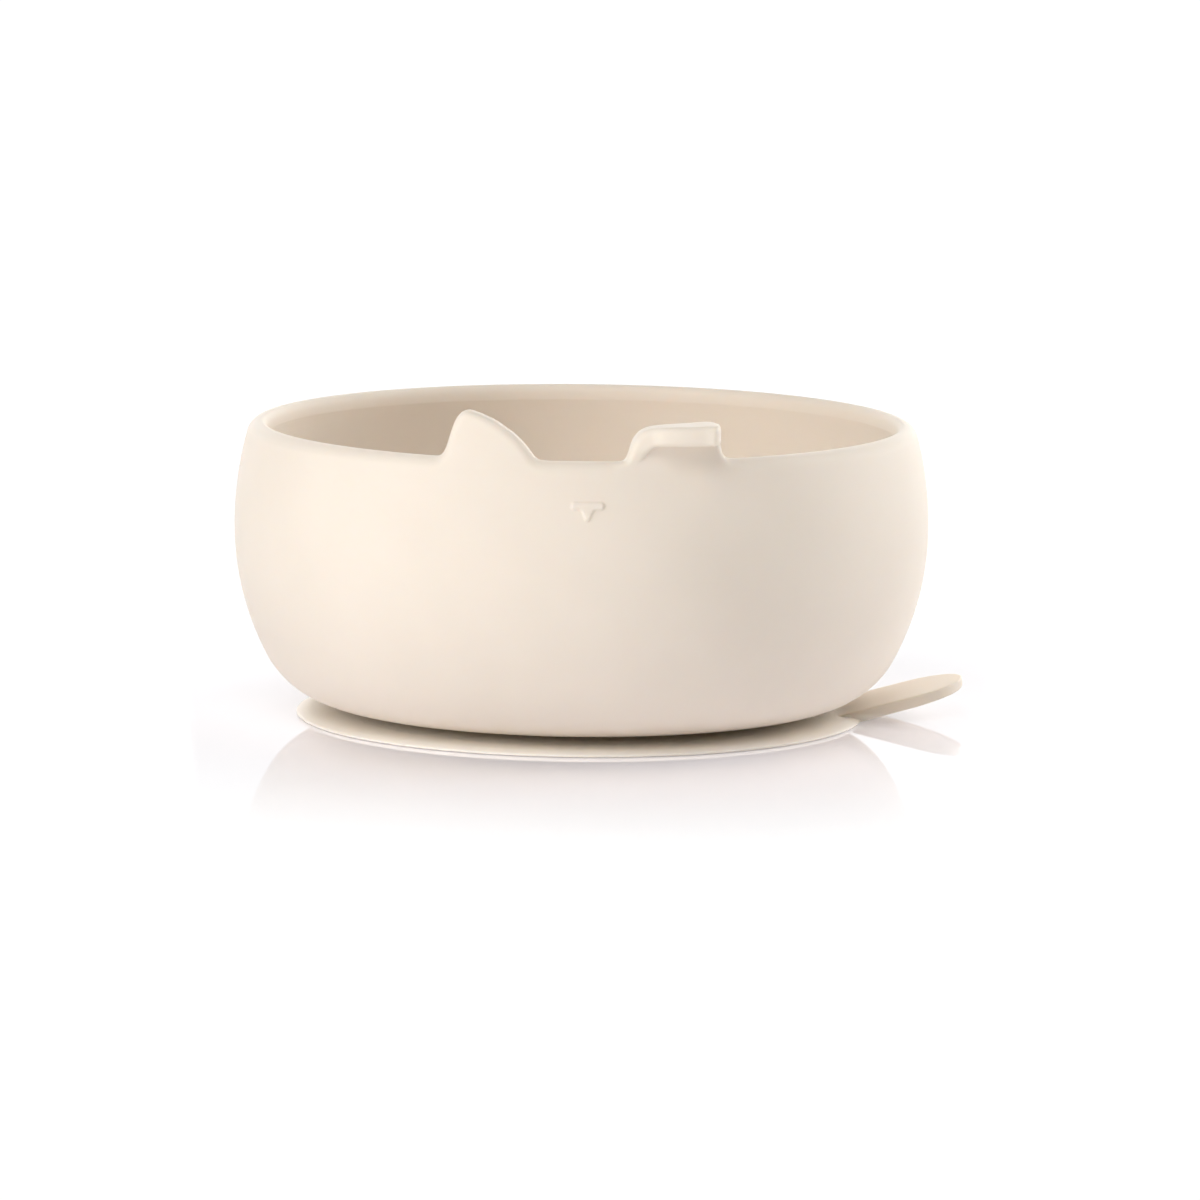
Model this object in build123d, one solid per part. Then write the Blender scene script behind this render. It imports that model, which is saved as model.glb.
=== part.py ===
from build123d import *

import math
import os

# Toddler's silicone suction bowl with two ears, in millimetres.
# The origin is on the bowl's axis, in the table plane. +Z is up, the face looks along -Y,
# and the pull tab points along +X.

# Bowl: driving dimensions
BELLY_RADIUS = 65.0
BELLY_HEIGHT = 36.0
UPPER_WALL_ARC = 66.0
LOWER_WALL_ARC = 52.0
RIM_HEIGHT = 55.4
UNDERSIDE_HEIGHT = 2.7
FOOT_RADIUS = 44.0
WALL = 3.8
FLOOR_HEIGHT = 8.6
FLOOR_CORNER = 18.0
RIM_OUTER_ROUND = 2.0
RIM_INNER_ROUND = 1.6

# Suction foot
SOCKET_RADIUS = 15.0
SOCKET_DEPTH = 3.6
PLUG_CLEARANCE = 0.3
PLUG_SHOULDER = 22.0
PLUG_CHAMFER = 0.6
CAVITY_HEIGHT = 1.3
WEB_RISE = 0.3
WEB_THICKNESS = 0.9
LIP_RADIUS = 53.2
LIP_INNER = 45.0
LIP_THICKNESS = 1.0
LIP_UNDERCUT = 1.2
LIP_EDGE_ROUND = 0.6
BODY_GAP = 0.3

# Pull tab: it leaves the lip's edge and rises outwards
TAB_AZIMUTH = 3.0
TAB_SLOPE = 15.0
TAB_WIDTH = 20.0
TAB_THICKNESS = 2.3
TAB_REACH = 72.0
TAB_ROOT = 2.0
TAB_ROUND = 0.7
TAB_HINGE_RADIUS = LIP_RADIUS + BODY_GAP / 2
TAB_HINGE_HEIGHT = 1.5

# Ears: stations across the front of the rim (x) and heights above the rim.
# The two sides of the upright ear are points that its flanks pass through, measured from its peak.
# Edges lower than SHARP_BELOW above the rim run into it and stay sharp.
EAR_THICKNESS = 3.5
EAR_ROUND = 1.1
SHARP_BELOW = 0.8
UPRIGHT_LEFT = -26.0
UPRIGHT_RIGHT = -9.0
UPRIGHT_PEAK = -20.8
UPRIGHT_RISE = 8.8
UPRIGHT_STEEP_SIDE = (-2.8, -3.2)
UPRIGHT_GENTLE_SIDE = (6.0, -2.6)
FOLD_LEFT = 8.0
FOLD_RIGHT = 25.2
FOLD_SHOULDER = 13.2
FOLD_RISE = 6.9
FLAP_THICKNESS = 3.3
FLAP_REACH = 5.4
FLAP_TIP = 22.6
FLAP_LEFT = 12.0
FLAP_WAIST = 0.62

# Nose: a raised T on the front wall
NOSE_X = 1.2
NOSE_HEIGHT = 46.5
NOSE_WIDTH = 6.0
NOSE_DROP = 3.5
NOSE_BAR = 1.5
NOSE_STEM = 1.3
NOSE_RELIEF = 0.45

RIM_MIDDLE = BELLY_RADIUS - UPPER_WALL_ARC + math.sqrt(
    UPPER_WALL_ARC**2 - (RIM_HEIGHT - BELLY_HEIGHT) ** 2
) - WALL / 2


def polar(centre, radius, angle):
    """Point on a circle in the profile plane, with the angle in degrees."""
    turn = math.radians(angle)
    return (centre[0] + radius * math.cos(turn), centre[1] + radius * math.sin(turn))


def arc_between(centre, radius, start, end):
    """Arc of a circle in the profile plane, from one angle to another."""
    return ThreePointArc(
        polar(centre, radius, start),
        polar(centre, radius, (start + end) / 2),
        polar(centre, radius, end),
    )


def wall_profile(offset, corner, bottom, top):
    """Half section of the bulging wall, moved inwards by offset, as a closed face that reaches the axis.

    It is three tangent arcs: the floor's corner, the lower belly and the upper belly.
    """
    lower_radius = LOWER_WALL_ARC - offset
    upper_radius = UPPER_WALL_ARC - offset
    lower_centre = (BELLY_RADIUS - LOWER_WALL_ARC, BELLY_HEIGHT)
    upper_centre = (BELLY_RADIUS - UPPER_WALL_ARC, BELLY_HEIGHT)
    drop = BELLY_HEIGHT - bottom - corner
    spread = math.sqrt((lower_radius - corner) ** 2 - drop**2)
    corner_centre = (lower_centre[0] + spread, bottom + corner)
    meet = -math.degrees(math.atan2(drop, spread))
    rim_angle = math.degrees(math.asin((top - BELLY_HEIGHT) / upper_radius))
    floor_end = polar(corner_centre, corner, -90)
    rim_end = polar(upper_centre, upper_radius, rim_angle)
    outline = [
        Line((0, bottom), floor_end),
        arc_between(corner_centre, corner, -90, meet),
        arc_between(lower_centre, lower_radius, meet, 0),
        arc_between(upper_centre, upper_radius, 0, rim_angle),
        Line(rim_end, (0, top)),
        Line((0, top), (0, bottom)),
    ]
    return make_face(outline)


def outside_corner():
    """Radius of the arc that joins the flat underside, at FOOT_RADIUS, to the lower belly."""
    run = FOOT_RADIUS - (BELLY_RADIUS - LOWER_WALL_ARC)
    rise = BELLY_HEIGHT - UNDERSIDE_HEIGHT
    return (LOWER_WALL_ARC**2 - run**2 - rise**2) / (2 * (LOWER_WALL_ARC - rise))


def turned(profile):
    """Solid of revolution of a face drawn in the radius-height plane."""
    return revolve(Plane.XZ * profile, Axis.Z, 360)


def outer_body(grow=0.0):
    """The bowl's outside as a full solid, larger by grow all round."""
    return turned(wall_profile(-grow, outside_corner() + grow, UNDERSIDE_HEIGHT - grow, RIM_HEIGHT))


def bowl_shell():
    section = wall_profile(0, outside_corner(), UNDERSIDE_HEIGHT, RIM_HEIGHT)
    section -= wall_profile(WALL, FLOOR_CORNER, FLOOR_HEIGHT, RIM_HEIGHT)
    section -= Pos(SOCKET_RADIUS / 2, UNDERSIDE_HEIGHT) * Rectangle(SOCKET_RADIUS, 2 * SOCKET_DEPTH)
    rim = section.vertices().group_by(Axis.Y)[-1].sort_by(Axis.X)
    section = fillet(rim[-1], RIM_OUTER_ROUND)
    rim = section.vertices().group_by(Axis.Y)[-1].sort_by(Axis.X)
    section = fillet(rim[0], RIM_INNER_ROUND)
    return turned(section)


def front_ring(inner, outer, bottom, top):
    """Band that follows the rim round the front of the bowl."""
    ring = Circle(outer) - Circle(inner)
    band = extrude(ring, top - bottom)
    front = Pos(0, -outer, (top - bottom) / 2) * Box(2 * outer, 2 * outer, top - bottom)
    return Pos(0, 0, bottom) * (band & front)


def facing_front(outline, depth=200.0):
    """An outline drawn in x and z, as a bar that runs back from the front."""
    return extrude(Plane.XZ * outline, depth / 2, both=True)


def ear_band(top):
    inner = RIM_MIDDLE - EAR_THICKNESS / 2
    outer = RIM_MIDDLE + EAR_THICKNESS / 2
    return front_ring(inner, outer, RIM_HEIGHT - WALL, top)


def upright_ear(shell):
    base = RIM_HEIGHT - RIM_OUTER_ROUND
    peak = RIM_HEIGHT + UPRIGHT_RISE
    outline = make_face(
        [
            Line((UPRIGHT_LEFT, base), (UPRIGHT_RIGHT, base)),
            Spline(
                (UPRIGHT_RIGHT, base),
                (UPRIGHT_PEAK + UPRIGHT_GENTLE_SIDE[0], peak + UPRIGHT_GENTLE_SIDE[1]),
                (UPRIGHT_PEAK, peak),
                tangents=[(-0.8, 0.9), (-1, 0)],
            ),
            Spline(
                (UPRIGHT_PEAK, peak),
                (UPRIGHT_PEAK + UPRIGHT_STEEP_SIDE[0], peak + UPRIGHT_STEEP_SIDE[1]),
                (UPRIGHT_LEFT, base),
                tangents=[(-1, 0), (-0.2, -1)],
            ),
        ]
    )
    ear = ear_band(peak + 1) & facing_front(outline)
    ear = rounded(ear, lambda edge: edge.center().Z > RIM_HEIGHT + SHARP_BELOW, EAR_ROUND)
    return ear - shell


def folded_ear_root(shell):
    base = RIM_HEIGHT - RIM_OUTER_ROUND
    top = RIM_HEIGHT + FOLD_RISE
    outline = make_face(
        [
            Line((FOLD_LEFT, base), (FOLD_RIGHT, base)),
            Line((FOLD_RIGHT, base), (FOLD_RIGHT, top)),
            Line((FOLD_RIGHT, top), (FOLD_SHOULDER, top)),
            Spline(
                (FOLD_SHOULDER, top),
                (FOLD_LEFT, base),
                tangents=[(-1, 0), (-0.35, -1)],
            ),
        ]
    )
    ear = ear_band(top + 1) & facing_front(outline)
    ear = rounded(ear, lambda edge: edge.center().Z > RIM_HEIGHT + SHARP_BELOW, EAR_ROUND)
    return ear - shell


def folded_ear_flap():
    """The tip of the folded ear: it leaves the front of the crease and lies level above the wall."""
    top = RIM_HEIGHT + FOLD_RISE
    crease = RIM_MIDDLE + EAR_THICKNESS / 2 + BODY_GAP

    def on_crease(x, proud=0.0):
        return (x, -math.sqrt((crease + proud) ** 2 - x**2))

    plan = make_face(
        [
            ThreePointArc(on_crease(FLAP_LEFT), on_crease((FLAP_LEFT + FOLD_RIGHT) / 2), on_crease(FOLD_RIGHT)),
            Line(on_crease(FOLD_RIGHT), on_crease(FOLD_RIGHT, FLAP_REACH / 3)),
            Line(on_crease(FOLD_RIGHT, FLAP_REACH / 3), on_crease(FLAP_TIP, FLAP_REACH)),
            Spline(
                on_crease(FLAP_TIP, FLAP_REACH),
                on_crease((FLAP_LEFT + FLAP_TIP) / 2, FLAP_WAIST * FLAP_REACH),
                on_crease(FLAP_LEFT),
            ),
        ]
    )
    flap = extrude(Pos(0, 0, top - FLAP_THICKNESS) * plan, FLAP_THICKNESS)
    return rounded(flap, lambda edge: beyond(edge.center(), crease + BODY_GAP), EAR_ROUND)


def beyond(point, radius):
    return math.hypot(point.X, point.Y) > radius


def rounded(solid, chosen, radius):
    """Fillets the chosen edges at the largest of a few radii that the solid takes."""
    edges = solid.edges().filter_by(chosen)
    for share in (1.0, 0.8, 0.6, 0.4):
        try:
            return fillet(edges, radius * share)
        except ValueError:
            continue
    print("left sharp:", solid.bounding_box())
    return solid


def nose_relief():
    top = NOSE_HEIGHT + NOSE_DROP / 2
    bar = Pos(NOSE_X, top - NOSE_BAR / 2) * SlotOverall(NOSE_WIDTH, NOSE_BAR)
    stem = Pos(NOSE_X, top - NOSE_DROP / 2 - NOSE_BAR / 4) * SlotOverall(NOSE_DROP - NOSE_BAR / 2, NOSE_STEM, 90)
    corner = fillet((bar + stem).vertices().filter_by(lambda v: v.Y < top - NOSE_BAR / 2), NOSE_STEM / 3)
    front = Pos(0, -BELLY_RADIUS, NOSE_HEIGHT) * Box(3 * NOSE_WIDTH, BELLY_RADIUS, 3 * NOSE_DROP)
    skin = (outer_body(NOSE_RELIEF) - outer_body()) & front
    return skin & facing_front(corner)


def base_plug():
    """Plug in the bowl's socket, with the shoulder that the web grows out of."""
    top = UNDERSIDE_HEIGHT + SOCKET_DEPTH - PLUG_CLEARANCE
    shoulder_top = UNDERSIDE_HEIGHT - BODY_GAP
    plug = cylinder(SOCKET_RADIUS - PLUG_CLEARANCE, shoulder_top, top)
    plug = chamfer(plug.edges().group_by(Axis.Z)[-1], PLUG_CHAMFER)
    return plug + cylinder(PLUG_SHOULDER, CAVITY_HEIGHT, shoulder_top)


def cylinder(radius, bottom, top):
    return Pos(0, 0, (bottom + top) / 2) * Cylinder(radius, top - bottom)


def suction_web():
    """Thin membrane from the plug's shoulder out and down to the lip."""
    section = Polyline(
        (PLUG_SHOULDER, CAVITY_HEIGHT),
        (LIP_INNER, WEB_RISE),
        (LIP_INNER, WEB_RISE + WEB_THICKNESS),
        (PLUG_SHOULDER, UNDERSIDE_HEIGHT - BODY_GAP),
        close=True,
    )
    return turned(make_face(section))


def sealing_lip():
    """Ring that lies on the table, with a soft rounded edge."""
    section = Polyline(
        (LIP_INNER, WEB_RISE),
        (LIP_INNER + LIP_UNDERCUT, 0),
        (LIP_RADIUS, 0),
        (LIP_RADIUS, LIP_THICKNESS),
        (LIP_INNER, WEB_RISE + WEB_THICKNESS),
        close=True,
    )
    face = make_face(section)
    edge_top = face.vertices().sort_by(Axis.X)[-2:].sort_by(Axis.Y)[-1]
    return turned(fillet(edge_top, LIP_EDGE_ROUND))


def tab_frame():
    """Frame of the pull tab: it starts at the hinge, x runs outwards along the tab, z stands on it."""
    hinge = Rot(0, 0, TAB_AZIMUTH) * Pos(TAB_HINGE_RADIUS, 0, TAB_HINGE_HEIGHT)
    return hinge * Rot(0, -TAB_SLOPE, 0)


def release_tab():
    """Round-ended tongue. Its root follows the lip's edge, a gap away, and clears the table."""
    straight = (TAB_REACH - TAB_HINGE_RADIUS) / math.cos(math.radians(TAB_SLOPE)) - TAB_WIDTH / 2
    middle = (straight - TAB_ROOT) / 2
    plan = Pos(middle, 0) * Rectangle(straight + TAB_ROOT, TAB_WIDTH)
    plan += Pos(straight, 0) * Circle(TAB_WIDTH / 2)
    blade = extrude(Pos(0, 0, -TAB_THICKNESS / 2) * plan, TAB_THICKNESS)
    blade = rounded(blade, lambda edge: edge.center().X > 0, TAB_ROUND)
    blade = tab_frame() * blade
    blade -= cylinder(LIP_RADIUS + BODY_GAP, -TAB_WIDTH, TAB_WIDTH)
    return blade - cylinder(2 * TAB_REACH, -TAB_WIDTH, BODY_GAP)


def largest(shape):
    """The one solid that a cut is meant to leave."""
    return max(shape.solids(), key=lambda solid: solid.volume)


shell = bowl_shell()
nodes = {
    "bowl_shell": shell,
    "upright_ear": upright_ear(shell),
    "folded_ear_root": folded_ear_root(shell),
    "folded_ear_flap": folded_ear_flap(),
    "nose_relief": nose_relief(),
    "base_plug": base_plug(),
    "suction_web": suction_web(),
    "sealing_lip": sealing_lip(),
    "release_tab": release_tab(),
}

os.makedirs("parts", exist_ok=True)
for name, shape in nodes.items():
    export_step(largest(shape), f"parts/{name}.step")
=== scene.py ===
import math

import bmesh
import bpy
import mathutils
import numpy as np
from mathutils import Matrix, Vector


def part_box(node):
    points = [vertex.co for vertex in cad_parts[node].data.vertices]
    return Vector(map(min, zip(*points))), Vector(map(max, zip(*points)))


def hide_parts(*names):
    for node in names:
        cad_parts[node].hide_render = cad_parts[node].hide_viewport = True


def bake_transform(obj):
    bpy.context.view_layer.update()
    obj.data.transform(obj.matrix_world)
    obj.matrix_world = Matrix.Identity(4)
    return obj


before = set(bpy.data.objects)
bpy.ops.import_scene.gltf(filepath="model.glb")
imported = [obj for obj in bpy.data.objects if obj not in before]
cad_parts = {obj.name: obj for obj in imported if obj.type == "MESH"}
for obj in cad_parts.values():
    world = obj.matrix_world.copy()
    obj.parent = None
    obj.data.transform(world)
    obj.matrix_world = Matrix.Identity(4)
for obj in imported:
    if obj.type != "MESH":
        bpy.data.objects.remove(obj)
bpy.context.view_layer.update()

MM = 0.001

# ---------------------------------------------------------------- sizes read from the frame, in mm


def low(node):
    return np.array(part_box(node)[0]) / MM


def high(node):
    return np.array(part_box(node)[1]) / MM


BELLY_RADIUS = high("bowl_shell")[0]
RIM_HEIGHT = high("bowl_shell")[2]
UNDERSIDE = low("bowl_shell")[2]
PLUG_TOP = high("base_plug")[2]
LIP_RADIUS = high("sealing_lip")[1]
TAB_TIP = high("release_tab")[0]
TAB_HALF_WIDTH = (high("release_tab")[1] - low("release_tab")[1]) / 2 - 0.3
EAR_RISE = high("upright_ear")[2] - RIM_HEIGHT
FOLD_RISE = high("folded_ear_root")[2] - RIM_HEIGHT
NOSE = (low("nose_relief") + high("nose_relief")) / 2

# ---------------------------------------------------------------- the nose, in mm from its middle

NOSE_HALF_WIDTH = 2.95
NOSE_BAR = 1.22
NOSE_BAR_HALF = 0.62
NOSE_STEM_TOP = 0.6
NOSE_STEM_LENGTH = 1.5
NOSE_STEM_WIDE = 1.05
NOSE_STEM_TAPER = 0.55
NOSE_EDGE = 0.5
# Half the height of the band of close rows that carries the nose
NOSE_BAND = 3.6
NOSE_BLEND = 0.7
NOSE_RELIEF = 0.45

# ---------------------------------------------------------------- the bowl's section, in mm

BELLY_HEIGHT = 36.0
UPPER_ARC = 66.0
LOWER_ARC = 52.0
FOOT_RADIUS = 44.0
WALL = 3.8
FLOOR = 8.6
FLOOR_CORNER = 18.0
SOCKET_RADIUS = 15.0
SOCKET_TOP = PLUG_TOP + 0.3
FLARE_START = 54.0
FLARE_FADE = 1.5
BAND_START = 51.0
RIM_MIDDLE = 60.2
EAR_FRONT = 60.85


def arcs(offset, bottom, corner):
    """Centres and radii of the three tangent arcs of a wall moved inwards by offset."""
    lower = LOWER_ARC - offset
    drop = BELLY_HEIGHT - bottom - corner
    spread = math.sqrt((lower - corner) ** 2 - drop**2)
    return {
        "corner": (BELLY_RADIUS - LOWER_ARC + spread, bottom + corner, corner),
        "lower": (BELLY_RADIUS - LOWER_ARC, BELLY_HEIGHT, lower),
        "upper": (BELLY_RADIUS - UPPER_ARC, BELLY_HEIGHT, UPPER_ARC - offset),
        "meet": math.atan2(drop, spread),
    }


def outside_corner():
    run = FOOT_RADIUS - (BELLY_RADIUS - LOWER_ARC)
    rise = BELLY_HEIGHT - UNDERSIDE
    return (LOWER_ARC**2 - run**2 - rise**2) / (2 * (LOWER_ARC - rise))


OUTSIDE = arcs(0, UNDERSIDE, outside_corner())
INSIDE = arcs(WALL, FLOOR, FLOOR_CORNER)


def wall_radius(wall, z):
    """Radius of a wall at height z. Above the rim it turns upright, so that the ears stand straight."""
    z = np.asarray(z, float)
    upper_x, upper_z, upper = wall["upper"]
    lower_x, lower_z, lower = wall["lower"]
    corner_x, corner_z, corner = wall["corner"]
    held = np.minimum(z, FLARE_START)
    above = upper_x + np.sqrt(np.maximum(upper**2 - (held - upper_z) ** 2, 0))
    below = lower_x + np.sqrt(np.maximum(lower**2 - (z - lower_z) ** 2, 0))
    round_off = corner_x + np.sqrt(np.maximum(corner**2 - (np.minimum(z, corner_z) - corner_z) ** 2, 0))
    lean = (FLARE_START - upper_z) / math.sqrt(upper**2 - (FLARE_START - upper_z) ** 2)
    past = np.maximum(z - FLARE_START, 0)
    above = above - lean * FLARE_FADE * (1 - np.exp(-past / FLARE_FADE))
    meet_z = corner_z - corner * math.sin(wall["meet"])
    return np.where(z > upper_z, above, np.where(z > meet_z, below, round_off))


def smooth(t):
    """Eases from 0 to 1."""
    t = np.clip(t, 0, 1)
    return t * t * (3 - 2 * t)


def bump(t):
    """Quarter-round: 0 at the edge, 1 where the round ends."""
    return np.sqrt(np.maximum(1 - (1 - np.clip(t, 0, 1)) ** 2, 0))


def chamfer(t):
    """Like bump, but flatter, so that the round keeps one slant and ends in a soft line."""
    return 0.7 * bump(t) + 0.3 * np.clip(t, 0, 1)


def curve(points, steps=12):
    """Catmull-Rom curve through a few points, as an array of points."""
    p = np.array([points[0], *points, points[-1]], float)
    t = np.linspace(0, 1, steps, endpoint=False)[:, None]
    out = []
    for a, b, c, d in zip(p, p[1:], p[2:], p[3:]):
        square = (2 * a - 5 * b + 4 * c - d) * t**2
        cube = (3 * b - a - 3 * c + d) * t**3
        out.append(0.5 * (2 * b + (c - a) * t + square + cube))
    return np.vstack([*out, p[-1:]])


def distance(points, line):
    """Shortest distance from each point to a polyline."""
    a, b = line[:-1], line[1:]
    ab = b - a
    best = np.full(len(points), 1e9)
    for start, step in zip(a, ab):
        t = np.clip(((points - start) @ step) / max(step @ step, 1e-12), 0, 1)
        best = np.minimum(best, np.linalg.norm(points - start - t[:, None] * step, axis=1))
    return best


# ---------------------------------------------------------------- ears: x across the front, h above the rim

EAR_ROUND = 1.5
RIM_OUTER_ROUND = 2.0
RIM_INNER_DEPTH = 1.9
RIM_INNER_DROP = 2.9
FLAP_ROUND = 1.1
FLAP_EASE = 2.5
FAR = 60.0
# Samples up a section, and how far along the rim its nearest edge is looked for
SECTION_SAMPLES = 240
EDGE_SEARCH = 14

UPRIGHT_EAR = [
    (-28.5, 0.0),
    (-26.3, 0.05),
    (-25.2, 0.6),
    (-24.6, 1.7),
    (-24.1, 3.2),
    (-23.3, 5.75),
    (-22.55, 7.4),
    (-21.6, EAR_RISE - 0.3),
    (-20.6, EAR_RISE),
    (-19.6, EAR_RISE - 0.25),
    (-18.0, EAR_RISE - 0.8),
    (-15.8, EAR_RISE - 1.75),
    (-13.9, EAR_RISE - 2.95),
    (-12.0, EAR_RISE - 4.3),
    (-10.4, EAR_RISE - 5.85),
    (-9.3, 1.6),
    (-8.5, 0.65),
    (-7.6, 0.12),
    (-6.0, 0.0),
]
FOLDED_EAR = [
    (6.0, 0.0),
    (7.6, 0.15),
    (8.4, 1.2),
    (9.3, 3.9),
    (10.6, 5.5),
    (12.4, 6.3),
    (15.0, 6.6),
    (19.0, 6.75),
    (23.0, FOLD_RISE),
    (24.1, FOLD_RISE - 0.35),
    (24.75, FOLD_RISE - 1.4),
    (25.0, 3.5),
    (25.35, 1.6),
    (26.2, 0.4),
    (27.6, 0.0),
    (29.5, 0.0),
]
# Lower edge of the flap, seen from the front: its left end runs down into the rim
FLAP_UNDERSIDE = [
    (10.3, -1.5),
    (11.0, -0.2),
    (11.7, 1.4),
    (12.2, 2.4),
    (13.2, 3.0),
    (15.0, 3.1),
    (19.0, 3.15),
    (26.0, 3.2),
]
# How far the flap stands out in front of the wall
FLAP_REACH = [
    (5.2, 0.0),
    (7.0, 0.2),
    (9.0, 0.7),
    (12.0, 1.5),
    (14.0, 2.9),
    (17.0, 4.1),
    (20.3, 4.9),
    (21.9, 5.4),
    (23.0, 4.2),
    (24.0, 1.6),
    (24.8, 0.3),
    (26.0, 0.0),
    (28.6, 0.0),
]


def around(points):
    """Turns x across the front of the ears into length along the rim."""
    points = np.array(points, float)
    points[:, 0] = RIM_MIDDLE * np.arcsin(points[:, 0] / EAR_FRONT)
    return points


outline = np.vstack([[(-FAR, 0)], around(curve(UPRIGHT_EAR)), around(curve(FOLDED_EAR)), [(FAR, 0)]])
flap_edge = around(curve(FLAP_UNDERSIDE))
reach = around(curve(FLAP_REACH))
first, last = outline[1, 0], outline[-2, 0]

# Where along the rim the tighter edge round of the ears applies, eased in over a few millimetres
ear_line = np.linspace(-40, 40, 321)
ear_share = smooth(np.interp(ear_line, outline[:, 0], outline[:, 1]) / 3.0)
for _ in range(60):
    ear_share = (np.roll(ear_share, 1) + ear_share + np.roll(ear_share, -1)) / 3


# How far to each side of the middle the ears reach, and the columns of the mesh beyond them
EARS_END = 29.0
COLUMNS_ROUND_THE_REST = 200


def stations():
    """Angles of the columns: close together at the ears and the nose, wide apart elsewhere."""
    zones = [
        (-EARS_END, -26.6, 0.4), (-26.6, -22.0, 0.15), (-22.0, -10.0, 0.33), (-10.0, -7.4, 0.22),
        (-7.4, -3.4, 0.7), (-3.4, 5.8, 0.16), (5.8, 7.2, 0.3), (7.2, 13.5, 0.14), (13.5, 21.0, 0.22),
        (21.0, 26.4, 0.11), (26.4, EARS_END, 0.35),
    ]
    x = np.concatenate([np.linspace(a, b, round((b - a) / step), endpoint=False) for a, b, step in zones])
    front = np.arcsin(x / RIM_MIDDLE)
    end = math.asin(EARS_END / RIM_MIDDLE)
    rest = np.linspace(end, 2 * math.pi - end, COLUMNS_ROUND_THE_REST, endpoint=False)
    return np.concatenate([front, rest])


def resample(path, count):
    """Points spaced evenly along a polyline."""
    length = np.concatenate([[0], np.cumsum(np.linalg.norm(np.diff(path, axis=0), axis=1))])
    at = np.linspace(0, length[-1], count)
    return np.stack([np.interp(at, length, path[:, i]) for i in range(path.shape[1])], axis=1)


def flap_over(s, h, z, d, outer, outer_round):
    """Pushes the wall out where the folded ear's flap stands in front of it."""
    edge = np.interp(s, flap_edge[:, 0], flap_edge[:, 1])
    side = np.where(h > edge, 1.0, -1.0)
    inside = side * distance(np.stack([np.full_like(h, s), h], axis=1), flap_edge)
    out = np.interp(s, reach[:, 0], reach[:, 1]) * smooth((h + 0.4) / 3.2)
    ease_in = smooth((s - reach[0, 0]) / FLAP_EASE) * smooth((reach[-1, 0] - s) / FLAP_EASE)
    tight = outer_round + (FLAP_ROUND - outer_round) * ease_in
    front = wall_radius(OUTSIDE, z) + out - tight * (1 - bump(np.minimum(d, inside) / tight))
    return np.where(inside > 0, np.maximum(outer, front), outer), edge, ease_in


def section_over_rim(s, below, face, back):
    """Section of the rim at length s along it: up the outside, over the crest or ear, down the inside."""
    top = np.interp(s, outline[:, 0], outline[:, 1])
    ease = 1 - np.linspace(1, 0, SECTION_SAMPLES) ** 2
    z = BAND_START + (RIM_HEIGHT + top - BAND_START) * ease
    h = z - RIM_HEIGHT
    here = np.stack([np.full_like(h, s), h], axis=1)
    if first < s < last:
        near = (outline[:, 0] > s - EDGE_SEARCH) & (outline[:, 0] < s + EDGE_SEARCH)
        d = distance(here, outline[near])
    else:
        d = -h
    ear = np.interp(s, ear_line, ear_share)
    outer_round = RIM_OUTER_ROUND + (EAR_ROUND - RIM_OUTER_ROUND) * ear
    inner_depth = RIM_INNER_DEPTH + (EAR_ROUND - RIM_INNER_DEPTH) * ear
    inner_drop = RIM_INNER_DROP + (EAR_ROUND - RIM_INNER_DROP) * ear
    outer = wall_radius(OUTSIDE, z) - outer_round * (1 - bump(d / outer_round))
    inner = wall_radius(INSIDE, z) + inner_depth * (1 - chamfer(d / inner_drop))
    split = BAND_START + 2.2
    if reach[0, 0] < s < reach[-1, 0]:
        outer, edge, ease_in = flap_over(s, h, z, d, outer, outer_round)
        split += ease_in * max(RIM_HEIGHT + min(edge, top - 0.6) - split, 0)
    low_part = z < split
    up = resample(np.stack([outer[low_part], z[low_part]], axis=1), below)
    rest = np.stack([outer[~low_part], z[~low_part]], axis=1)
    over = resample(np.vstack([up[-1:], rest]), face)
    crest = np.array([[(over[-1, 0] + inner[-1]) / 2, z[-1]]])
    down = np.vstack([over[-1:], crest, np.stack([inner[::-1], z[::-1]], axis=1)])
    return np.vstack([up[:-1], over[:-1], resample(down, back)])


def arc_points(centre_x, centre_z, radius, start, end, count):
    a = np.linspace(start, end, count, endpoint=False)
    return np.stack([centre_x + radius * np.cos(a), centre_z + radius * np.sin(a)], axis=1)


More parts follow.
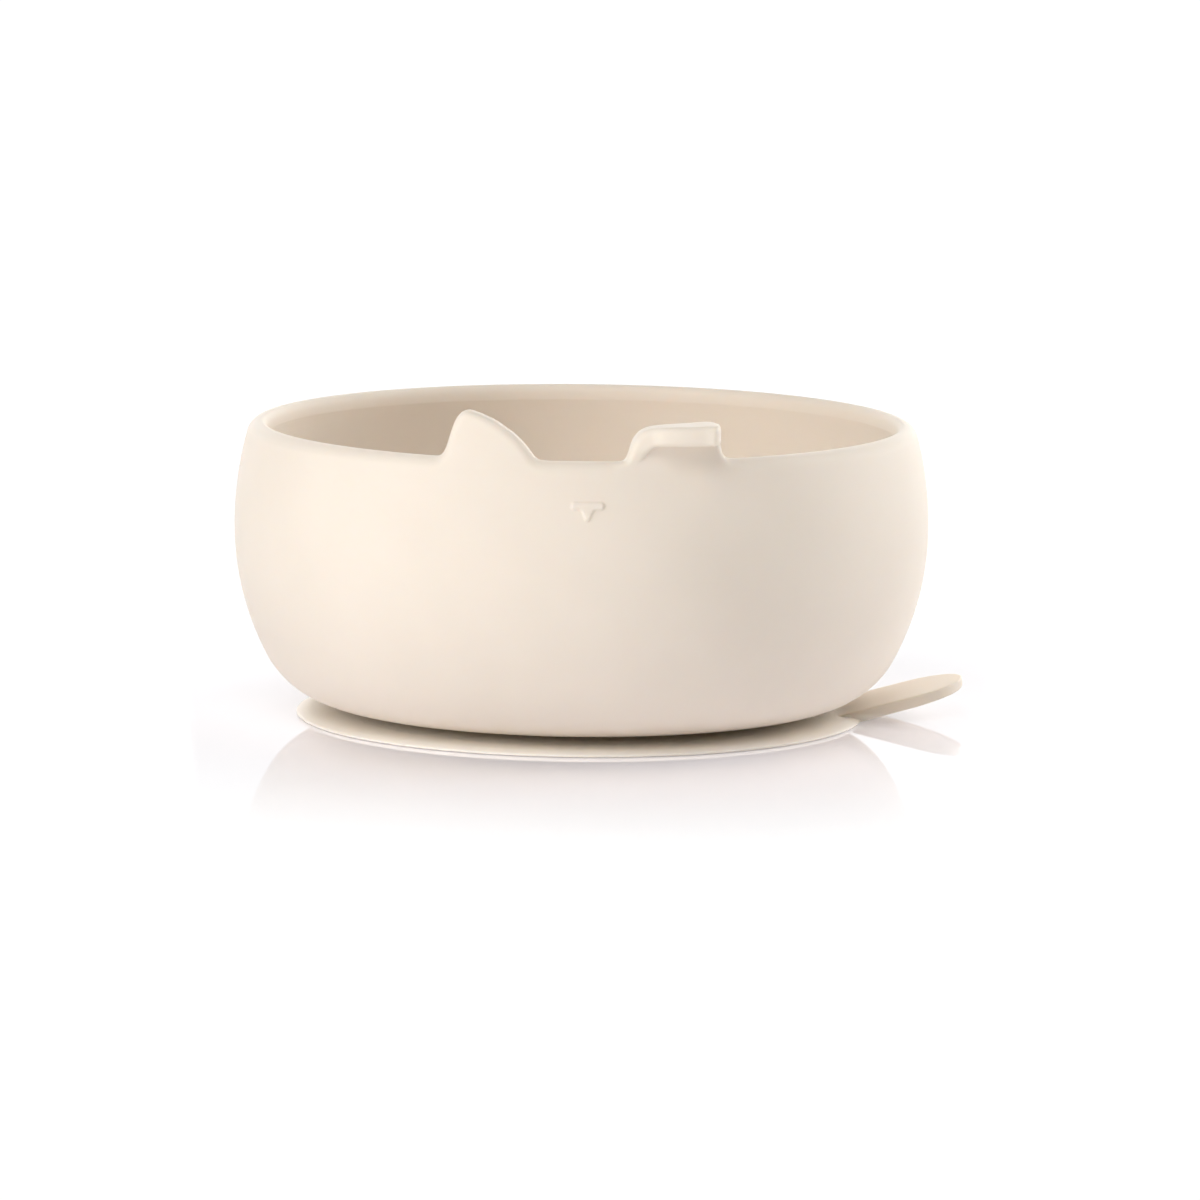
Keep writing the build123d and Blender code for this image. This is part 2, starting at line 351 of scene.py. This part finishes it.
def fixed_rows():
    """Rows that are the same all round: the underside and outer wall, then the inner wall and the floor."""
    edge = 0.25
    underside = curve([(SOCKET_RADIUS * 0.3, SOCKET_TOP), (SOCKET_RADIUS - 0.6, SOCKET_TOP)], 6)
    mouth = np.array([(SOCKET_RADIUS, SOCKET_TOP - 0.6), (SOCKET_RADIUS, UNDERSIDE + edge + 0.3),
                      (SOCKET_RADIUS + edge, UNDERSIDE + 0.05), (SOCKET_RADIUS + 2 * edge, UNDERSIDE)])
    flat = np.stack([np.linspace(18, FOOT_RADIUS, 10, endpoint=False), np.full(10, UNDERSIDE)], axis=1)
    corner = arc_points(*OUTSIDE["corner"], -math.pi / 2, -OUTSIDE["meet"], 16)
    lower = arc_points(*OUTSIDE["lower"], -OUTSIDE["meet"], 0, 18)
    nose_low, nose_high = NOSE[2] - NOSE_BAND, NOSE[2] + NOSE_BAND
    z = np.concatenate([np.linspace(BELLY_HEIGHT, nose_low, 6, endpoint=False),
                        np.linspace(nose_low, nose_high, 44, endpoint=False),
                        np.linspace(nose_high, BAND_START, 3, endpoint=False)])
    upper = np.stack([wall_radius(OUTSIDE, z), z], axis=1)
    z = np.linspace(BAND_START, BELLY_HEIGHT, 12)[1:]
    inner_upper = np.stack([wall_radius(INSIDE, z), z], axis=1)
    inner_lower = arc_points(*INSIDE["lower"], 0, -INSIDE["meet"], 16)[1:]
    inner_corner = arc_points(*INSIDE["corner"], -INSIDE["meet"], -math.pi / 2, 14)
    r = np.linspace(INSIDE["corner"][0], 2, 12)
    floor = np.stack([r, np.full_like(r, FLOOR)], axis=1)
    return (np.vstack([underside, mouth, flat, corner, lower, upper]),
            np.vstack([inner_upper, inner_lower, inner_corner, floor]))


def nose_height(x, z):
    """Raised animal nose: a level bar with rounded ends that runs down into a tapered stem."""
    x, z = x - NOSE[0], z - NOSE[2]
    bar = np.hypot(np.maximum(np.abs(x) - NOSE_HALF_WIDTH + NOSE_BAR_HALF, 0), z - NOSE_BAR) - NOSE_BAR_HALF
    down = np.clip((NOSE_STEM_TOP - z) / NOSE_STEM_LENGTH, 0, 1)
    stem = np.hypot(x, z - NOSE_STEM_TOP + NOSE_STEM_LENGTH * down) - NOSE_STEM_WIDE + NOSE_STEM_TAPER * down
    mix = np.clip(0.5 + 0.5 * (bar - stem) / NOSE_BLEND, 0, 1)
    shape = bar * (1 - mix) + stem * mix - NOSE_BLEND * mix * (1 - mix)
    shape = np.where(z > NOSE_BAR, bar, shape)
    return NOSE_RELIEF * smooth(0.5 - shape / NOSE_EDGE)


def relax(points, weight, rounds):
    """Softens a grid of points a little where weight is above 0."""
    for _ in range(rounds):
        around_it = (np.roll(points, 1, axis=1) + np.roll(points, -1, axis=1)) / 4
        around_it[1:-1] += (points[2:] + points[:-2]) / 4
        around_it[0], around_it[-1] = points[0], points[-1]
        points = points + 0.6 * weight[..., None] * (around_it - points)
    return points


def grid_mesh(name, points, caps=(True, True)):
    """Mesh from a grid of rows by columns that closes round the axis, with a point at each capped end."""
    rows, columns = points.shape[:2]
    verts = [tuple(p) for p in (points * MM).reshape(-1, 3)]
    faces = []
    for i in range(rows - 1):
        for j in range(columns):
            k = (j + 1) % columns
            faces.append((i * columns + j, i * columns + k, (i + 1) * columns + k, (i + 1) * columns + j))
    for row, wanted in ((0, caps[0]), (rows - 1, caps[1])):
        if not wanted:
            continue
        middle = points[row].mean(axis=0) * MM
        verts.append(tuple(middle))
        tip = len(verts) - 1
        for j in range(columns):
            k = (j + 1) % columns
            pair = (row * columns + j, row * columns + k)
            faces.append((*(pair[::-1] if row == 0 else pair), tip))
    mesh = bpy.data.meshes.new(name)
    mesh.from_pydata(verts, [], faces)
    mesh.polygons.foreach_set("use_smooth", np.ones(len(mesh.polygons), bool))
    mesh.update()
    piece = bpy.data.objects.new(name, mesh)
    bpy.context.scene.collection.objects.link(piece)
    return piece


def swing(section, theta):
    """Places (radius, height) pairs at angles from the front of the bowl."""
    r, z = section[..., 0], section[..., 1]
    return np.stack([r * np.sin(theta), -r * np.cos(theta), z], axis=-1)


# Rows of the mesh in the rim's band: up the outside, over the face of an ear, down the back
BAND_ROWS = (16, 62, 40)
# The ears' mesh is softened a little above this height and within this distance of the middle, in mm
SOFTEN_FROM = 53.0
SOFTEN_WITHIN = 28.8


def make_bowl():
    """One closed skin: underside, outer wall with the nose, rim with both ears, inner wall and floor."""
    theta = stations()
    outside, inside = fixed_rows()
    band = []
    for angle in theta:
        wrapped = (angle + math.pi) % (2 * math.pi) - math.pi
        band.append(section_over_rim(RIM_MIDDLE * wrapped, *BAND_ROWS))
    band = np.stack(band, axis=1)
    columns = len(theta)
    outside = np.repeat(outside[:, None], columns, axis=1)
    inside = np.repeat(inside[:, None], columns, axis=1)
    x = outside[..., 0] * np.sin(theta)
    near = (np.abs(x - NOSE[0]) < 5) & (np.abs(outside[..., 1] - NOSE[2]) < 4) & (np.cos(theta) > 0)
    outside[..., 0] += np.where(near, nose_height(x, outside[..., 1]), 0)
    rows = np.concatenate([outside, band, inside])
    points = swing(rows, theta[None, :])
    z = rows[..., 1]
    wrapped = (theta + math.pi) % (2 * math.pi) - math.pi
    ears = smooth((z - SOFTEN_FROM) / 1.5) * (np.abs(wrapped) < math.asin(SOFTEN_WITHIN / RIM_MIDDLE))
    points = relax(points, ears, 5)
    return grid_mesh("silicone_bowl", points)


# ---------------------------------------------------------------- suction foot

LIP_INNER = 45.0
WEB_UNDER = 0.3
TAB_AZIMUTH = math.radians(3.0)
TAB_SLOPE = math.tan(math.radians(15.0))
TAB_HINGE = 53.35
TAB_HINGE_HEIGHT = 1.5
TAB_THICKNESS = 2.3
TAB_EDGE = 0.45
TAB_START = 46.6
# Edges of the united lip and tab that turn by more than this many degrees stay sharp
SHARP_ANGLE = 40


def make_lip():
    """Ring that lies on the table, turned, with a soft edge."""
    edge = LIP_RADIUS
    outline_points = [
        (LIP_INNER, WEB_UNDER + 0.1), (LIP_INNER + 0.1, WEB_UNDER), (LIP_INNER + 1.2, 0.03),
        (LIP_INNER + 1.4, 0.0), (49.0, 0.0), (edge - 1.6, 0.0), (edge - 0.5, 0.1), (edge - 0.12, 0.17),
        (edge, 0.36), (edge - 0.14, 0.55), (edge - 0.55, 0.71), (edge - 1.3, 0.88), (edge - 2.4, 1.06),
        (48.8, 1.18), (LIP_INNER + 1.0, 1.25), (LIP_INNER + 0.1, 1.26), (LIP_INNER, 1.16),
        (LIP_INNER, WEB_UNDER + 0.1),
    ]
    section = np.maximum(curve(outline_points, 4), 0)
    theta = np.linspace(0, 2 * math.pi, 360, endpoint=False)
    points = swing(np.repeat(section[:, None], len(theta), axis=1), theta[None, :])
    return grid_mesh("suction_lip_and_tab", points, caps=(False, False))


def tab_outline():
    """Plan of the tab round its edge, and for each point the point of its spine that it shrinks towards."""
    half = TAB_HALF_WIDTH
    tip = TAB_TIP - half
    u = np.linspace(TAB_START, tip, 24, endpoint=False)
    turn = np.linspace(math.pi / 2, -math.pi / 2, 49)
    v = np.linspace(-half, half, 14)[1:-1]
    side = np.stack([u, np.full_like(u, half)], axis=1)
    end = np.stack([tip + half * np.cos(turn), half * np.sin(turn)], axis=1)
    root = np.stack([np.full_like(v, TAB_START), v], axis=1)
    edge = np.vstack([side, end, side[::-1] * (1, -1), root])
    spine = np.clip(edge[:, 0], TAB_START + half, tip)
    return edge, np.stack([spine, np.zeros_like(spine)], axis=1)


def make_tab():
    """Round-ended tongue that rises out of the lip, as loops round its edge from underneath to on top."""
    edge, spine = tab_outline()
    half = TAB_THICKNESS / 2
    turn = np.linspace(0, math.pi / 2, 6)
    inset = np.concatenate([np.linspace(TAB_HALF_WIDTH, 1.2, 6), TAB_EDGE * (1 - np.sin(turn))])
    level = np.concatenate([np.full(6, -half), -half + TAB_EDGE * (1 - np.cos(turn))])
    inset, level = np.concatenate([inset, inset[::-1]]), np.concatenate([level, -level[::-1]])
    share = (inset / TAB_HALF_WIDTH)[:, None, None]
    plan = edge[None] * (1 - share) + spine[None] * share
    out = plan[..., 0] - TAB_HINGE
    thin = 1 - 0.12 * np.clip(out / (TAB_TIP - TAB_HINGE), 0, 1)
    z = TAB_HINGE_HEIGHT + out * TAB_SLOPE + level[:, None] * thin
    floor_line = 0.12 + 0.01 * (level[:, None] + half)
    z = np.maximum(z, floor_line)
    c, s = math.cos(TAB_AZIMUTH), math.sin(TAB_AZIMUTH)
    x = plan[..., 0] * c - plan[..., 1] * s
    y = plan[..., 0] * s + plan[..., 1] * c
    return grid_mesh("tab_tongue", np.stack([x, y, z], axis=-1)[:, ::-1], caps=(False, False))


def welded(piece):
    """Joins the points that fall together and turns every face outwards."""
    shape = bmesh.new()
    shape.from_mesh(piece.data)
    bmesh.ops.remove_doubles(shape, verts=shape.verts, dist=2e-6)
    bmesh.ops.recalc_face_normals(shape, faces=shape.faces)
    shape.to_mesh(piece.data)
    shape.free()
    return piece


def united(piece, other):
    """One closed mesh from two that overlap."""
    join = piece.modifiers.new("join", "BOOLEAN")
    join.operation = "UNION"
    join.solver = "EXACT"
    join.object = other
    graph = bpy.context.evaluated_depsgraph_get()
    mesh = bpy.data.meshes.new_from_object(piece.evaluated_get(graph))
    piece.modifiers.clear()
    piece.data = mesh
    bpy.data.objects.remove(other)
    mesh.polygons.foreach_set("use_smooth", np.ones(len(mesh.polygons), bool))
    mesh.set_sharp_from_angle(angle=math.radians(SHARP_ANGLE))
    return piece


def make_cup():
    """Web and plug: turned, with a small step where the plug enters the socket."""
    shoulder = high("base_plug")[0]
    ceiling = low("base_plug")[2]
    shoulder_top = UNDERSIDE - 0.3
    plug = SOCKET_RADIUS - 0.3
    outline_points = [
        (1.5, ceiling), (9.0, ceiling), (16.0, ceiling), (shoulder, ceiling), (30.0, ceiling - 0.3),
        (38.0, 0.65), (LIP_INNER + 0.2, WEB_UNDER), (LIP_INNER + 0.25, 0.8), (LIP_INNER + 0.2, 1.24),
        (38.0, 1.6), (30.0, 1.98), (shoulder, shoulder_top - 0.02), (plug + 1.2, shoulder_top),
        (plug + 0.25, shoulder_top + 0.1), (plug, shoulder_top + 0.5), (plug, PLUG_TOP - 0.7),
        (plug - 0.25, PLUG_TOP - 0.2), (plug - 0.8, PLUG_TOP), (9.0, PLUG_TOP), (1.5, PLUG_TOP),
    ]
    section = curve(outline_points, 4)
    theta = np.linspace(0, 2 * math.pi, 160, endpoint=False)
    points = swing(np.repeat(section[:, None], len(theta), axis=1), theta[None, :])
    return grid_mesh("suction_cup", points)


# ---------------------------------------------------------------- materials

# Heights between which the foot's colour turns from a paler painted light, for thin silicone near the table,
# to the plain colour of thick silicone, in mm
PAINTED_LIGHT_FULL_BELOW = 1.05
PAINTED_LIGHT_GONE_FROM = 2.0


def node(tree, kind, place=(0, 0), **values):
    """New shader node at a place in the tree, with its settings."""
    made = tree.nodes.new(kind)
    made.location = place
    for key, value in values.items():
        setattr(made, key, value)
    return made


def painted_light_near_table(tree, link, place, colour, thin):
    """Painted light: thin silicone close to the white table is painted paler, in place of the light it lets
    through there.
    """
    height = node(tree, "ShaderNodeSeparateXYZ", (-1100, 600))
    link(place.outputs["Object"], height.inputs[0])
    share = node(tree, "ShaderNodeMapRange", (-850, 600), interpolation_type="SMOOTHSTEP")
    share.inputs["From Min"].default_value = PAINTED_LIGHT_GONE_FROM * MM
    share.inputs["From Max"].default_value = PAINTED_LIGHT_FULL_BELOW * MM
    link(height.outputs["Z"], share.inputs["Value"])
    painted_light_mix = node(tree, "ShaderNodeMix", (-600, 500), data_type="RGBA")
    painted_light_mix.inputs["B"].default_value = (*thin, 1)
    link(share.outputs["Result"], painted_light_mix.inputs["Factor"])
    link(colour, painted_light_mix.inputs["A"])
    return painted_light_mix.outputs["Result"]


def mottled(tree, link, place, colour, deep):
    """Slow mottling between two colours."""
    mottle = node(tree, "ShaderNodeTexNoise", (-1100, 300))
    mottle.inputs["Scale"].default_value = 38
    mottle.inputs["Detail"].default_value = 3
    link(place.outputs["Object"], mottle.inputs["Vector"])
    tint = node(tree, "ShaderNodeValToRGB", (-850, 300))
    tint.color_ramp.elements[0].position = 0.3
    tint.color_ramp.elements[0].color = (*deep, 1)
    tint.color_ramp.elements[1].position = 0.7
    tint.color_ramp.elements[1].color = (*colour, 1)
    link(mottle.outputs["Fac"], tint.inputs["Fac"])
    return tint.outputs["Color"]


def specked(tree, link, place, base):
    """A few small darker specks."""
    specks = node(tree, "ShaderNodeTexVoronoi", (-1100, 0))
    specks.inputs["Scale"].default_value = 95
    link(place.outputs["Object"], specks.inputs["Vector"])
    dot = node(tree, "ShaderNodeMapRange", (-850, 0), interpolation_type="SMOOTHSTEP")
    dot.inputs["From Min"].default_value = 0.035
    dot.inputs["From Max"].default_value = 0.02
    link(specks.outputs["Distance"], dot.inputs["Value"])
    rare = node(tree, "ShaderNodeMath", (-850, -150), operation="GREATER_THAN")
    rare.inputs[1].default_value = 0.9
    link(specks.outputs["Color"], rare.inputs[0])
    speck = node(tree, "ShaderNodeMath", (-650, -50), operation="MULTIPLY")
    link(dot.outputs["Result"], speck.inputs[0])
    link(rare.outputs["Value"], speck.inputs[1])
    darker = node(tree, "ShaderNodeMix", (-450, 200), data_type="RGBA", blend_type="MULTIPLY")
    darker.inputs["B"].default_value = (0.82, 0.79, 0.74, 1)
    link(speck.outputs["Value"], darker.inputs["Factor"])
    link(base, darker.inputs["A"])
    return darker.outputs["Result"]


def grained(tree, link, place):
    """Faint level mould lines, with a fine grain on top."""
    flat = node(tree, "ShaderNodeMapping", (-1300, -200))
    flat.inputs["Scale"].default_value = (14, 14, 900)
    link(place.outputs["Object"], flat.inputs["Vector"])
    lines = node(tree, "ShaderNodeTexNoise", (-1100, -200))
    lines.inputs["Scale"].default_value = 1
    lines.inputs["Detail"].default_value = 2
    link(flat.outputs["Vector"], lines.inputs["Vector"])
    grain = node(tree, "ShaderNodeTexNoise", (-1100, -450))
    grain.inputs["Scale"].default_value = 3600
    grain.inputs["Detail"].default_value = 2
    link(place.outputs["Object"], grain.inputs["Vector"])
    coarse = node(tree, "ShaderNodeBump", (-450, -250))
    coarse.inputs["Strength"].default_value = 0.06
    coarse.inputs["Distance"].default_value = 0.0003
    link(lines.outputs["Fac"], coarse.inputs["Height"])
    fine = node(tree, "ShaderNodeBump", (-250, -250))
    fine.inputs["Strength"].default_value = 0.12
    fine.inputs["Distance"].default_value = 0.00006
    link(grain.outputs["Fac"], fine.inputs["Height"])
    link(coarse.outputs["Normal"], fine.inputs["Normal"])
    return fine.outputs["Normal"]


def silicone(name, colour, deep, roughness, thin=None):
    """Matte silicone with soft scatter. Where thin is given, the part close to the table is painted that
    paler colour, as painted light.
    """
    material = bpy.data.materials.new(name)
    material.use_nodes = True
    tree = material.node_tree
    link = tree.links.new
    shader = tree.nodes["Principled BSDF"]
    shader.inputs["Roughness"].default_value = roughness
    shader.inputs["IOR"].default_value = 1.41
    shader.inputs["Specular IOR Level"].default_value = 0.35
    shader.inputs["Subsurface Weight"].default_value = 0.25
    shader.inputs["Subsurface Radius"].default_value = (1.0, 0.75, 0.5)
    shader.inputs["Subsurface Scale"].default_value = 0.0025
    shader.inputs["Sheen Weight"].default_value = 0.06
    shader.inputs["Sheen Roughness"].default_value = 0.5
    place = node(tree, "ShaderNodeTexCoord", (-1400, 0))
    base = mottled(tree, link, place, colour, deep)
    if thin:
        # Painted light: the foot is painted paler close to the table
        base = painted_light_near_table(tree, link, place, base, thin)
    link(specked(tree, link, place, base), shader.inputs["Base Color"])
    link(grained(tree, link, place), shader.inputs["Normal"])
    return material


def dress(piece, material):
    """Gives a piece its one material."""
    piece.data.materials.clear()
    piece.data.materials.append(material)


bowl_skin = silicone("bowl_silicone", (0.84, 0.755, 0.655), (0.81, 0.725, 0.625), 0.62)
# The foot's last colour is painted light: the foot gets this paler colour close to the table
foot_skin = silicone("foot_silicone", (0.83, 0.74, 0.625), (0.80, 0.71, 0.595), 0.55, (0.96, 0.885, 0.785))

# ---------------------------------------------------------------- pieces on their bodies

bowl = make_bowl()
dress(bowl, bowl_skin)
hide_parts("bowl_shell", "upright_ear", "folded_ear_root", "folded_ear_flap", "nose_relief")
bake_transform(bowl)

lip = united(welded(make_lip()), welded(make_tab()))
dress(lip, foot_skin)
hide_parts("sealing_lip", "release_tab")
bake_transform(lip)

cup = make_cup()
dress(cup, foot_skin)
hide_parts("base_plug", "suction_web")
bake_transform(cup)

# ---------------------------------------------------------------- stage, light and camera

# The table is glossy up to GLOSS_UNTIL metres from the bowl's axis, and plain white from WHITE_FROM on
FLOOR_HALF = 6.0
GLOSS_UNTIL = 0.055
WHITE_FROM = 0.18
NEAR_GLOW = 0.104
FAR_GLOW = 1.06


def make_floor():
    """Glossy white table that turns into plain white away from the bowl."""
    mesh = bpy.data.meshes.new("floor")
    corners = [(-FLOOR_HALF, -FLOOR_HALF, 0), (FLOOR_HALF, -FLOOR_HALF, 0),
               (FLOOR_HALF, FLOOR_HALF, 0), (-FLOOR_HALF, FLOOR_HALF, 0)]
    mesh.from_pydata(corners, [], [(0, 1, 2, 3)])
    floor = bpy.data.objects.new("floor", mesh)
    bpy.context.scene.collection.objects.link(floor)
    material = bpy.data.materials.new("white_gloss_table")
    material.use_nodes = True
    tree = material.node_tree
    link = tree.links.new
    near = tree.nodes["Principled BSDF"]
    near.inputs["Base Color"].default_value = (0.90, 0.875, 0.92, 1)
    near.inputs["Roughness"].default_value = 0.03
    near.inputs["IOR"].default_value = 1.5
    near.inputs["Emission Color"].default_value = (1, 1, 1, 1)
    near.inputs["Emission Strength"].default_value = NEAR_GLOW
    far = node(tree, "ShaderNodeEmission", (0, -300))
    far.inputs["Strength"].default_value = FAR_GLOW
    place = node(tree, "ShaderNodeTexCoord", (-900, 0))
    away = node(tree, "ShaderNodeVectorMath", (-700, 0), operation="LENGTH")
    link(place.outputs["Object"], away.inputs[0])
    fade = node(tree, "ShaderNodeMapRange", (-500, 0), interpolation_type="SMOOTHSTEP")
    fade.inputs["From Min"].default_value = GLOSS_UNTIL
    fade.inputs["From Max"].default_value = WHITE_FROM
    link(away.outputs["Value"], fade.inputs["Value"])
    mix = node(tree, "ShaderNodeMixShader", (300, 0))
    link(fade.outputs["Result"], mix.inputs["Fac"])
    link(near.outputs["BSDF"], mix.inputs[1])
    link(far.outputs["Emission"], mix.inputs[2])
    link(mix.outputs["Shader"], tree.nodes["Material Output"].inputs["Surface"])
    dress(floor, material)


def softbox(name, place, target, power):
    """Square area light at a place, aimed at a target, that the camera doesn't see."""
    light = bpy.data.lights.new(name, "AREA")
    light.shape = "RECTANGLE"
    light.size, light.size_y = LAMP_SIZE, LAMP_SIZE
    light.energy = power
    lamp = bpy.data.objects.new(name, light)
    bpy.context.scene.collection.objects.link(lamp)
    lamp.location = place
    lamp.visible_camera = False
    way = np.array(target, float) - np.array(place, float)
    lamp.rotation_euler = mathutils.Vector(way).to_track_quat("-Z", "Y").to_euler()


# Softboxes round the bowl: angle from the camera's side, elevation, power in watts
LAMPS = [
    (-160, 18, 3.72),
    (-60, 18, 5.36),
    (-12, 18, 1.70),
    (120, 18, 8.60),
    (160, 18, 4.06),
    (-60, 48, 1.81),
    (-12, 48, 4.60),
    (90, 48, 2.18),
]
LAMP_DISTANCE = 1.2
LAMP_SIZE = 0.6
LAMP_AIM = (0, 0, 0.03)


def make_world():
    """A bright white room that only the camera and mirror reflections see. The softboxes light the rest."""
    world = bpy.data.worlds.new("white_studio")
    bpy.context.scene.world = world
    world.use_nodes = True
    tree = world.node_tree
    link = tree.links.new
    room = tree.nodes["Background"]
    room.inputs["Color"].default_value = (1, 1, 1, 1)
    ray = node(tree, "ShaderNodeLightPath", (-600, 200))
    seen = node(tree, "ShaderNodeMath", (-400, 200), operation="MAXIMUM")
    link(ray.outputs["Is Camera Ray"], seen.inputs[0])
    link(ray.outputs["Is Glossy Ray"], seen.inputs[1])
    glow = node(tree, "ShaderNodeMath", (-200, 200), operation="MULTIPLY")
    glow.inputs[1].default_value = FAR_GLOW
    link(seen.outputs["Value"], glow.inputs[0])
    link(glow.outputs["Value"], room.inputs["Strength"])


def make_light():
    """White room and softboxes, shown without any tone curve."""
    make_world()
    for azimuth, elevation, power in LAMPS:
        a, e = math.radians(azimuth), math.radians(elevation)
        place = (
            LAMP_DISTANCE * math.cos(e) * math.sin(a),
            -LAMP_DISTANCE * math.cos(e) * math.cos(a),
            LAMP_DISTANCE * math.sin(e) + LAMP_AIM[2],
        )
        softbox(f"lamp_{azimuth}_{elevation}", place, LAMP_AIM, power)
    bpy.context.scene.view_settings.view_transform = "Standard"


# The camera, in mm, with its pitch and roll in degrees
CAMERA_DISTANCE = 1670
CAMERA_HEIGHT = 257
CAMERA_ASIDE = 3.62
CAMERA_PITCH = 8.0215
CAMERA_ROLL = 0.6
SENSOR_WIDTH = 36
FOCAL_LENGTH = 269.58


def make_camera():
    """Long lens from the front, a little above the table, with a small roll."""
    data = bpy.data.cameras.new("camera")
    camera = bpy.data.objects.new("camera", data)
    bpy.context.scene.collection.objects.link(camera)
    data.sensor_width = SENSOR_WIDTH
    data.lens = FOCAL_LENGTH
    data.clip_start, data.clip_end = 0.1, 50
    camera.location = (CAMERA_ASIDE * MM, -CAMERA_DISTANCE * MM, CAMERA_HEIGHT * MM)
    pitch = math.radians(CAMERA_PITCH)
    look = mathutils.Vector((0, math.cos(pitch), -math.sin(pitch)))
    roll = mathutils.Quaternion((0, 0, 1), math.radians(CAMERA_ROLL))
    camera.rotation_mode = "QUATERNION"
    camera.rotation_quaternion = look.to_track_quat("-Z", "Y") @ roll
    bpy.context.scene.camera = camera


make_floor()
make_light()
make_camera()
